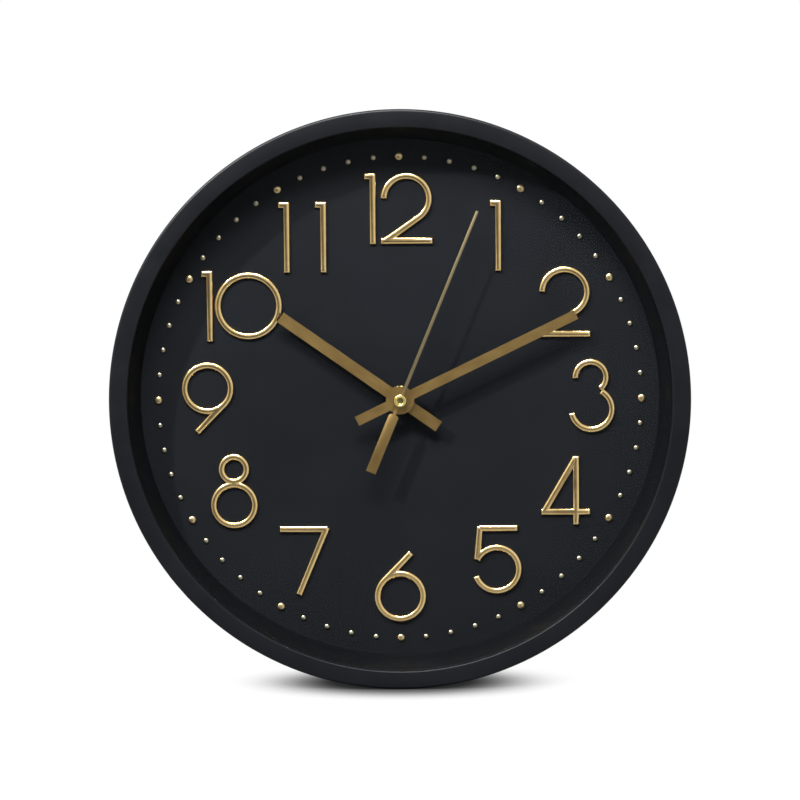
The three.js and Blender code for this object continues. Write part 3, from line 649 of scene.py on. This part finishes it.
def along_path(points, closed):
    """Stations along a path: each one's point, unit normal and distance to the nearest end.

    An open path has extra stations near its ends.
    """
    path = [Vector(p) for p in points]
    if closed:
        count = len(path)
        normals = []
        for i in range(count):
            run = (path[(i + 1) % count] - path[i - 1]).normalized()
            normals.append(Vector((-run.y, run.x)))
        return [(p, n, NUMERAL_HALF) for p, n in zip(path, normals)]
    lengths = [0]
    for a, b in zip(path, path[1:]):
        lengths.append(lengths[-1] + (b - a).length)
    total = lengths[-1]
    ends = [NUMERAL_HALF * (1 - abs(u)) for u in ACROSS if u <= 0]
    between_ends = [s for s in lengths[1:-1] if NUMERAL_HALF < s < total - NUMERAL_HALF]
    stations = sorted(set(ends + [total - e for e in ends] + between_ends))
    result = []
    for s in stations:
        k = max(i for i in range(len(lengths) - 1) if lengths[i] <= s + 1e-9)
        share = (s - lengths[k]) / (lengths[k + 1] - lengths[k])
        point = path[k].lerp(path[k + 1], share)
        here = (path[k + 1] - path[k]).normalized()
        after = (path[min(k + 2, len(path) - 1)] - path[min(k + 1, len(path) - 2)]).normalized()
        before = (path[k] - path[k - 1]).normalized() if k else here
        run = (before.lerp(here, 0.5 + share / 2) if share < 0.5 else here.lerp(after, share / 2 - 0.25))
        run = run.normalized() if share in (0, 1) or len(path) > 2 else here
        result.append((point, Vector((-run.y, run.x)), min(s, total - s)))
    return result


def stroke(points, closed=False):
    """A domed bar along a path of points, hipped at its ends like a roof."""
    bm = bmesh.new()
    stations = along_path(points, closed)
    upper, lower = [], []
    for point, normal, end in stations:
        top_row, base_row = [], []
        for u in ACROSS:
            spot = point + normal * (u * NUMERAL_HALF)
            height = dome_height(min(NUMERAL_HALF * (1 - abs(u)), end))
            top_row.append(bm.verts.new((*spot, height)))
            base_row.append(bm.verts.new((*spot, NUMERAL_BACK)))
        upper.append(top_row)
        lower.append(base_row)
    count = len(stations)
    last = DOME_STEPS
    for i in range(count if closed else count - 1):
        k = (i + 1) % count
        for j in range(last):
            bm.faces.new((upper[i][j], upper[k][j], upper[k][j + 1], upper[i][j + 1]))
            bm.faces.new((lower[i][j], lower[i][j + 1], lower[k][j + 1], lower[k][j]))
        bm.faces.new((lower[i][0], lower[k][0], upper[k][0], upper[i][0]))
        bm.faces.new((lower[i][last], upper[i][last], upper[k][last], lower[k][last]))
    if not closed:
        for row in (0, count - 1):
            for j in range(last):
                bm.faces.new((lower[row][j], upper[row][j], upper[row][j + 1], lower[row][j + 1]))
    bmesh.ops.recalc_face_normals(bm, faces=bm.faces)
    mesh = bpy.data.meshes.new("stroke")
    bm.to_mesh(mesh)
    bm.free()
    return mesh


def arc(x, y, radius, start, end, steps=None):
    steps = steps or max(8, int(abs(end - start) / 5))
    arms = [polar(radius, start + (end - start) * i / steps) for i in range(steps + 1)]
    return [(x + across, y + up) for across, up in arms]


def ring(x, y, radius):
    return stroke(circle(radius, 96, x, y), closed=True)


TOP = NUMERAL_HEIGHT / 2 - NUMERAL_HALF


def one():
    half = NUMERAL_HEIGHT / 2
    return [stroke([(0, -half), (0, half)]), stroke([(1.2, TOP), (-4.5, TOP)])]


def two():
    radius = 11.7
    centre = Vector((0, TOP - radius))
    corner = Vector((0.2 - radius, -TOP))
    reach = centre - corner
    end = math.degrees(math.atan2(reach.y, reach.x) - math.asin(radius / reach.length)) - 90
    bowl = arc(centre.x, centre.y, radius, 180, end)
    neck = stroke([*bowl, (corner.x - 0.4, corner.y - 0.6)])
    foot = stroke([(corner.x - 1.9, -TOP), (13.7, -TOP)])
    return [neck, foot]


def three():
    waist = (4.8, 2.6)
    upper_end = math.degrees(math.atan2(waist[1] - 9.7, waist[0] + 0.6))
    lower_end = math.degrees(math.atan2(waist[1] + 7.1, waist[0]))
    return [stroke(arc(-0.6, 9.7, 8, 185, upper_end)), stroke(arc(0, -7.1, 10.6, lower_end, -170))]


def four():
    half = NUMERAL_HEIGHT / 2
    stem, bar = 5.4, -11.5
    return [stroke([(stem, -half), (stem, half - 0.4)]), stroke([(-13, bar), (13, bar)]),
            stroke([(stem - 0.3, half - 1.4), (-11.9, bar - 0.6)])]


def five():
    return [stroke([(-9.9, TOP), (10.6, TOP)]), stroke([(-9.3, TOP + 1), (-10.9, 0.1)]),
            stroke(arc(-0.4, -5, 11.5, 155, -162))]


def six():
    bowl = (0, -5.3, 12)
    return [ring(*bowl), stroke([(5.9, 17.9), *arc(*bowl, 136, 180, 9)])]


def seven():
    return [stroke([(-13, TOP), (12.6, TOP)]), stroke([(11.9, TOP + 1), (-3.1, -18.2)])]


def eight():
    return [ring(0, 11.8, 6.5), ring(0, -7.1, 10.8)]


def nine():
    halfway_round = Matrix.Rotation(math.pi, 4, "Z")
    parts = six()
    for part in parts:
        part.transform(halfway_round)
    return parts


def zero():
    return [ring(0, 0, 15.9)]


DIGITS = [zero, one, two, three, four, five, six, seven, eight, nine]


def numerals():
    """One piece for each digit, centred where its CAD node is."""
    names = {f"numeral_{n}": n for n in range(1, 10)}
    names.update(numeral_10_a=1, numeral_10_b=0, numeral_11_a=1, numeral_11_b=1)
    names.update(numeral_12_a=1, numeral_12_b=2)
    for node, digit in names.items():
        parts = DIGITS[digit]()
        mesh = union(parts[0], *parts[1:])
        low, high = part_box(node)
        xs = [v.co.x for v in mesh.vertices]
        ys = [v.co.y for v in mesh.vertices]
        middle = (low + high) / 2
        shift_x = (middle.x - AXIS.x) / MM - (min(xs) + max(xs)) / 2
        shift_y = (middle.z - AXIS.z) / MM - (min(ys) + max(ys)) / 2
        mesh.transform(Matrix.Translation((shift_x, shift_y, 0)))
        piece("digit_" + node[8:], mesh, GOLD, "case", [node], crease=50)


# ------------------------------------------------------------------ hands
def turned_hand(degrees):
    return TO_FRAME @ Matrix.Rotation(-math.radians(degrees), 4, "Z")


def bar_hand(size, front, collar_radius, collar_back, bore):
    half = size["width"] / 2
    back = front - HAND_THICK
    bar = cuboid(-half, half, -size["tail"], size["length"], back, front)
    blade = union(bar, disc(HUB_RADIUS, back, front, 96))
    blade = bevelled(blade, 0.28, 1)
    collar = turned(rounded([(bore, collar_back, 0.05), (collar_radius, collar_back, 0.15),
                             (collar_radius, back + 0.1, 0), (bore, back + 0.1, 0)]), SMALL_ROUND)
    return cut(union(blade, collar), disc(bore, back - 0.5, front + 1, SMALL_ROUND))


def hands():
    hour_back, hour_front = levels("hour_hand")
    minute_back, minute_front = levels("minute_hand")
    hour = bar_hand(HOUR_HAND, hour_front, 3.7, hour_back, 2.9)
    piece("hour_hand_blade", hour, HAND, "hour_train", ["hour_hand"],
          turned_hand(HANDS_AT["hour"]))
    minute = bar_hand(MINUTE_HAND, minute_front, 2.8, minute_back, 2.0)
    piece("minute_hand_blade", minute, HAND, "minute_train", ["minute_hand"],
          turned_hand(HANDS_AT["minute"]))


def second_hand():
    back, front = levels("second_hand")
    root, tip, length, tail = 0.85, 0.7, 105.8, 40.4
    half, start, chamfer = 2.65, 8, 0.9
    outline = [(root, 0), (tip, length), (-tip, length), (-root, 0), (-root, -start),
               (chamfer - half, -start), (-half, -start - chamfer), (-half, -tail), (half, -tail),
               (half, -start - chamfer), (half - chamfer, -start), (root, -start)]
    blade = union(slab(outline[::-1], back, front), disc(3.2, back, front, SMALL_ROUND))
    blade = cut(bevelled(blade, 0.12, 2), disc(2.45, back - 1, front + 1, SMALL_ROUND))
    place = turned_hand(HANDS_AT["second"])
    piece("second_hand_blade", blade, THIN_HAND, "second_train", ["second_hand"], place)
    tube_back, tube_front = levels("second_hand_tube")
    flange = front + 0.1
    profile = rounded([
        (0, 32.9, 0), (0.85, 32.9, 0), (0.85, tube_back, 0), (2.2, tube_back, 0.15), (2.2, flange, 0),
        (3.4, flange, 0.1), (3.4, tube_front, 0.85), (1.9, tube_front, 0.6), (1.9, tube_front - 1.9, 0.2),
        (0, tube_front - 1.9, 0),
    ])
    socket = turned(profile, 96)
    piece("second_hand_socket", socket, BRASS, "second_train", ["second_hand_tube"], place)


def nut_and_washer():
    back, front = levels("hex_nut")
    nut = bevelled(cut(slab([polar(6.35, 60 * i) for i in range(6)], back, front),
                       disc(4.2, back - 1, front + 1)), 0.25)
    piece("hexagonal_nut", nut, BRASS, "case", ["hex_nut"])
    back, front = levels("washer")
    profile = rounded([(4.2, back, 0.05), (7, back, 0.1), (7, front, 0.1), (4.2, front, 0.05)], 3)
    piece("nut_washer", turned(profile, 96), BRASS, "case", ["washer"])
    back, front = 19, 19.9  # the gasket, squeezed between the hanger and the dial
    profile = rounded([(4.4, back, 0.1), (12, back, 0.2), (12, front, 0.2), (4.4, front, 0.1)], 3)
    piece("dial_gasket", turned(profile, 96), RUBBER, "case", ["gasket"])


# ------------------------------------------------------------------ behind the dial
def rounded_square(half, corner):
    inner = half - corner
    middles = [(inner, -inner, -90), (inner, inner, 0), (-inner, inner, 90), (-inner, -inner, 180)]
    return [point for x, y, start in middles for point in arc(x, y, corner, start, start + 90, 10)]


def screw_thread(radius, depth, pitch, start, end):
    """The outer side of a thread as a profile of ridges, from start to end."""
    points = []
    for i in range(int((end - start) / pitch)):
        z = start + i * pitch
        points += [(radius - depth, z), (radius - depth, z + 0.12 * pitch), (radius, z + 0.5 * pitch),
                   (radius - depth, z + 0.88 * pitch)]
    return points


def movement_housing():
    body = slab(rounded_square(MOVEMENT_HALF, 3), MOVEMENT_BACK, MOVEMENT_FRONT)
    body = bevelled(body, 0.5, 3)
    inside = MOVEMENT_HALF - MOVEMENT_WALL
    floor = MOVEMENT_FRONT - 1.2
    bore = 2.85
    profile = [(bore, floor), (3.9, floor), *screw_thread(4, 0.3, 0.5, MOVEMENT_FRONT, NECK_FRONT - 0.5),
               (3.7, NECK_FRONT - 0.4), (3.4, NECK_FRONT), (bore, NECK_FRONT)]
    body = cut(
        body,
        cuboid(-inside, inside, BAY[1] + 0.8, inside, 0, floor),
        cuboid(-inside, inside, BAY[0], BAY[1], 0, floor),
        disc(bore, floor - 1, NECK_FRONT + 1),
    )
    neck = turned(profile, 96)
    piece("movement_case", union(body, neck), MOVEMENT, "case", ["movement_housing"])


def arrow(radius, start, end, z0, z1):
    """A raised curved arrow about the setting knob, from one angle to another."""
    width = 0.9
    outer = arc(*KNOB_AT, radius + width / 2, start, end, 16)
    inner = arc(*KNOB_AT, radius - width / 2, end, start, 16)
    tip = end + (16 if end > start else -16)
    head = [polar(radius + 1.5, end), polar(radius, tip), polar(radius - 1.5, end)]
    head = [(KNOB_AT[0] + x, KNOB_AT[1] + y) for x, y in head]
    outline = outer + head + inner
    return slab(outline if end > start else outline[::-1], z0, z1)


def movement_cover():
    inside = MOVEMENT_HALF - MOVEMENT_WALL - 0.2
    bottom = BAY[1] + 1
    sheet = bevelled(cuboid(-inside, inside, bottom, inside, MOVEMENT_BACK, 3.8), 0.3, 2)
    collar = turned(rounded([(6.6, 1.6, 0.2), (7.6, 1.6, 0.3), (7.6, 3, 0), (6.6, 3, 0)]), 96, *KNOB_AT)
    raised = 2.35
    marks = [arrow(9.4, 120, 150, raised, 3), arrow(9.4, 60, 30, raised, 3)]
    for x in (-22, 22):  # polarity marks: plus over the cell's nub, minus over its flat end
        marks.append(cuboid(x - 1.5, x + 1.5, -8.9, -8.3, raised, 3))
    marks.append(cuboid(-22.3, -21.7, -10.1, -7.1, raised, 3))
    for x in (-inside + 3.5, inside - 3.5):  # two catches along the top edge
        marks.append(bevelled(cuboid(x - 2.5, x + 2.5, inside - 2.2, inside - 0.6, 2.0, 3), 0.25, 2))
    frame_line = 0.5
    for side in (-1, 1):  # a thin raised border down each side
        x = side * (inside - 1.6)
        marks.append(cuboid(x - frame_line, x + frame_line, bottom + 4.5, inside - 4, raised, 3))
    mesh = cut(union(sheet, collar, *marks), disc(6.6, 0, MOVEMENT_BACK + 0.05, 96, *KNOB_AT),
               disc(1.7, 0, 5, 32, *KNOB_AT))
    piece("movement_lid", mesh, MOVEMENT, "case", ["movement_cover"])


def setting_knob():
    flutes = 16
    count = flutes * 12
    radii = [5.8 + 0.2 * math.cos(flutes * 2 * math.pi * i / count) for i in range(count)]
    outline = [polar(radius, 360 * i / count) for i, radius in enumerate(radii)]
    wheel = bevelled(slab(outline, 0.5, 2.2), 0.18, 2)
    wheel = cut(wheel, turned(rounded([(0, 0, 0), (4.2, 0, 0), (3.8, 1.1, 0.3), (0, 1.1, 0)]), 96))
    pointer = slab([(-0.7, -2.6), (0.7, -2.6), (0.7, 0.6), (1.7, 0.6), (0, 3), (-1.7, 0.6), (-0.7, 0.6)],
                   0.75, 1.3)
    wheel = union(wheel, pointer, disc(1.3, 2, 6, 32))
    wheel.transform(Matrix.Translation((*KNOB_AT, 0)))
    piece("time_setting_knob", wheel, MOVEMENT, "motion_train", ["setting_knob"])


def hanger():
    """A folded steel strip with a keyhole in its upright tab."""
    thick, width = 0.8, 24
    strip_back, strip_front = levels("hanger")
    inner = strip_front - thick
    top = AXIS_TO_HANGER_TOP
    riser = 28.7
    bend = 1.2
    side = rounded([
        (-10, inner, 0.1), (riser, inner, bend - thick), (riser, strip_back, bend), (top, strip_back, 0.1),
        (top, strip_back + thick, 0.1), (riser + thick, strip_back + thick, bend - thick),
        (riser + thick, strip_front, bend), (-10, strip_front, 0.1),
    ], 4)
    strip = slab(side, -width / 2, width / 2)
    strip.transform(Matrix(((0, 0, 1, 0), (1, 0, 0, 0), (0, 1, 0, 0), (0, 0, 0, 1))))
    slot_radius, head_radius, head_y, slot_y = 2.2, 4, 35, 40
    corner = 3
    trims = []
    for side_sign in (-1, 1):  # rounded upper corners of the tab
        x, y = side_sign * (width / 2 - corner), top - corner
        square = cuboid(min(x, side_sign * width), max(x, side_sign * width), y, top + 1, 0, 5)
        trims.append(cut(square, disc(corner, -1, 6, SMALL_ROUND, x, y)))
    mesh = cut(
        strip,
        disc(4.4, inner - 1, strip_front + 1),
        disc(head_radius, 0, 5, SMALL_ROUND, 0, head_y),
        cuboid(-slot_radius, slot_radius, head_y, slot_y, -1, 6),
        disc(slot_radius, 0, 5, SMALL_ROUND, 0, slot_y),
        *trims,
    )
    piece("steel_hanger", mesh, STEEL, "case", ["hanger"])


def battery():
    """A plain AA cell lying along x, with its nub to the left."""
    radius, half, nub = CELL["radius"], CELL["half"], CELL["nub"]
    lying = Matrix.Translation((CELL["x"], CELL["y"], CELL["z"])) @ Matrix.Rotation(math.pi / 2, 4, "Y")
    shoulder = -half + nub
    band = shoulder + 11
    can = turned(rounded([
        (0, -half, 0), (2.7, -half, 0.35), (2.7, shoulder + 0.1, 0.25), (radius - 1.2, shoulder + 0.1, 0),
        (radius - 1.2, half - 0.15, 0.1), (0, half - 0.15, 0),
    ]), 96)
    jacket = turned(rounded([
        (radius - 1.1, band, 0), (radius, band, 0), (radius, half, 0.5), (radius - 1.1, half, 0.15),
    ]), 128)
    collar = turned(rounded([
        (radius - 1.1, shoulder, 0.2), (radius, shoulder, 0.6), (radius, band, 0), (radius - 1.1, band, 0),
    ]), 128)
    for mesh in (can, jacket, collar):
        mesh.transform(lying)
    piece("cell_jacket", jacket, JACKET, "battery_cell", ["battery"])
    piece("cell_band", collar, BAND, "battery_cell")
    piece("cell_can", can, STEEL, "battery_cell")


def dial_screws():
    """Pan-head screws with cross slots."""
    back, front = levels("dial_screw_1")
    for i, angle in enumerate(BOSS_ANGLES):
        head = turned(rounded([
            (0, back, 0), (1.1, back, 0.4), (2, back + 0.7, 0.35), (2, DIAL_BACK - 0.1, 0.1),
            (1.2, DIAL_BACK - 0.1, 0), (1.2, front - 0.6, 0.1), (0.6, front, 0.1), (0, front, 0),
        ]), 48)
        slot = cuboid(-1.15, 1.15, -0.22, 0.22, back - 1, back + 0.75)
        across = slot.copy()
        across.transform(Matrix.Rotation(math.pi / 2, 4, "Z"))
        screw = cut(head, slot, across)
        turn = Matrix.Rotation(math.radians(17 + 50 * i), 4, "Z")
        screw.transform(Matrix.Translation((*polar(BOSS_RING, angle), 0)) @ turn)
        piece(f"pan_screw_{i + 1}", screw, STEEL, "case", [f"dial_screw_{i + 1}"])


def softened(node, material, width, crease=40):
    """The CAD node's own shape with its sharp edges rounded by width, as moulding leaves them."""
    source = frame["nodes"][node]
    mesh = source.data.copy()
    mesh.transform(TO_FRAME.inverted() @ source.matrix_world)
    bm = bmesh.new()
    bm.from_mesh(mesh)
    bmesh.ops.remove_doubles(bm, verts=bm.verts, dist=0.0005)
    bmesh.ops.dissolve_limit(bm, angle_limit=math.radians(1), verts=bm.verts, edges=bm.edges)
    bm.to_mesh(mesh)
    bm.free()
    mesh = bevelled(mesh, width, 2, crease)
    piece(node + "_soft", mesh, material, source["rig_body"], [node])


SOFTENED = {
    "contact_positive": (STEEL, 0.08),
    "contact_negative": (STEEL, 0.08),
    "circuit_board": (BOARD, 0.08),
    "chip": (EPOXY, 0.15),
    "quartz_crystal": (STEEL, 0.12),
    "stator": (STEEL, 0.08),
    "coil_bobbin": (GEAR, 0.1),
    "coil_winding": (COPPER, 0.15),
    "rotor_magnet": (MAGNET, 0.1),
    "rotor_pinion": (GEAR, 0.04),
    "intermediate_wheel": (GEAR, 0.04),
    "second_wheel": (GEAR, 0.04),
    "third_wheel": (GEAR, 0.04),
    "centre_wheel": (GEAR, 0.04),
    "minute_pipe": (BRASS, 0.06),
    "motion_wheel": (GEAR, 0.04),
    "hour_wheel": (GEAR, 0.04),
}


case_ring()
spacer()
lens()
dial()
minute_dots()
numerals()
hands()
second_hand()
nut_and_washer()

movement_housing()
movement_cover()
setting_knob()
hanger()
battery()
dial_screws()
for node, (material, width) in SOFTENED.items():
    softened(node, material, width)

# ------------------------------------------------------------------ the scene round the clock
low, high = cad_box
target = Vector((AXIS.x, low[1], AXIS.z + AIM_ABOVE))


def add_camera():
    data = bpy.data.cameras.new("camera")
    camera = bpy.data.objects.new("camera", data)
    bpy.context.scene.collection.objects.link(camera)
    tilt = math.radians(ELEVATION)
    place = target + Vector((0, -math.cos(tilt), math.sin(tilt))) * DISTANCE
    look = (target - place).to_track_quat("-Z", "Y").to_matrix().to_4x4()
    camera.matrix_world = Matrix.Translation(place) @ look @ Matrix.Rotation(math.radians(-ROLL), 4, "Z")
    data.sensor_width = SENSOR
    data.lens = SENSOR * DISTANCE / VIEW_WIDTH
    data.clip_start = 0.01
    data.clip_end = 100
    bpy.context.scene.camera = camera


def softbox(name, direction, distance, size, power):
    """A rectangular light that faces the clock from a direction, at a distance in metres."""
    data = bpy.data.lights.new(name, "AREA")
    data.shape = "RECTANGLE"
    data.size, data.size_y = size
    data.energy = power
    light = bpy.data.objects.new(name, data)
    bpy.context.scene.collection.objects.link(light)
    towards = Vector(direction).normalized()
    light.location = target + towards * distance
    light.rotation_euler = towards.to_track_quat("Z", "Y").to_euler()


def add_floor():
    """A white sweep that glows by itself, but dimly in an oval round the clock's foot, where it is also
    solid.

    The dim oval is a painted shadow, and most of the clock's soft shadow on the floor. The floor's far edge
    fades out.
    """
    bm = bmesh.new()
    bmesh.ops.create_circle(bm, cap_ends=True, segments=96, radius=FLOOR_RADIUS)
    mesh = bpy.data.meshes.new("floor")
    bm.to_mesh(mesh)
    bm.free()
    floor = bpy.data.objects.new("floor", mesh)
    floor.location = (AXIS.x, (low[1] + high[1]) / 2, low[2])
    bpy.context.scene.collection.objects.link(floor)
    material, shader = new_material("glowing_floor_painted_shadow")
    nodes = Nodes(material)
    shader.inputs["Base Color"].default_value = (0.02, 0.02, 0.02, 1)
    shader.inputs["Roughness"].default_value = 0.9
    shader.inputs["Specular IOR Level"].default_value = 0.1
    shader.inputs["Emission Color"].default_value = (1, 1, 1, 1)
    # painted shadow: the floor's glow is dimmed, and the floor made solid, in an oval round the clock's
    # foot
    foot = nodes.length(nodes.stretched((1 / PAINTED_SHADOW_OVAL[0], 1 / PAINTED_SHADOW_OVAL[1], 1)))
    glow_with_painted_shadow = nodes.between(foot, *PAINTED_SHADOW_GLOW, *PAINTED_SHADOW_GLOW_RISE, smooth=True)
    nodes.link(glow_with_painted_shadow, shader.inputs["Emission Strength"])
    cover = nodes.between(foot, *PAINTED_SHADOW_COVER, *PAINTED_SHADOW_COVER_FALL, smooth=True)
    fade = nodes.between(nodes.length(nodes.coordinates), 1, 0, *FLOOR_FADE)
    nodes.link(nodes.product(cover, fade), shader.inputs["Alpha"])
    floor.data.materials.append(material)


def add_world():
    """A white room: bright at the sides and above, less below, and dark in front, behind the camera."""
    world = bpy.data.worlds.new("studio")
    bpy.context.scene.world = world
    world.use_nodes = True
    tree = world.node_tree
    background = tree.nodes["Background"]
    direction = tree.nodes.new("ShaderNodeTexCoord").outputs["Generated"]

    def along(axis):
        dot = tree.nodes.new("ShaderNodeVectorMath")
        dot.operation = "DOT_PRODUCT"
        dot.inputs[1].default_value = axis
        tree.links.new(direction, dot.inputs[0])
        return dot.outputs["Value"]

    def blend(value, start, end, low, high):
        blend = tree.nodes.new("ShaderNodeMapRange")
        blend.interpolation_type = "SMOOTHSTEP"
        for name, number in (("From Min", start), ("From Max", end), ("To Min", low), ("To Max", high)):
            blend.inputs[name].default_value = number
        tree.links.new(value, blend.inputs["Value"])
        return blend.outputs["Result"]

    def product(a, b):
        product = tree.nodes.new("ShaderNodeMath")
        product.operation = "MULTIPLY"
        tree.links.new(a, product.inputs[0])
        tree.links.new(b, product.inputs[1])
        return product.outputs[0]

    dark = Vector(DARK_TOWARDS).normalized()
    outer, inner = (math.cos(math.radians(edge)) for edge in DARK_EDGES)
    around = blend(along(dark), outer, inner, 1, FRONT_SHADE)
    height = blend(along((0, 0, 1)), *ROOM_HEIGHTS, ROOM_BELOW, ROOM)
    path = tree.nodes.new("ShaderNodeLightPath")
    seen = tree.nodes.new("ShaderNodeMix")
    seen.data_type = "FLOAT"
    seen.inputs["B"].default_value = 1
    tree.links.new(path.outputs["Is Camera Ray"], seen.inputs["Factor"])
    tree.links.new(product(around, height), seen.inputs["A"])
    tree.links.new(seen.outputs["Result"], background.inputs["Strength"])
    background.inputs["Color"].default_value = (1, 1, 1, 1)


add_camera()
add_floor()
add_world()
softbox("key", **KEY_LIGHT)
softbox("left", **LEFT_LIGHT)
bpy.context.scene.view_settings.view_transform = "Standard"
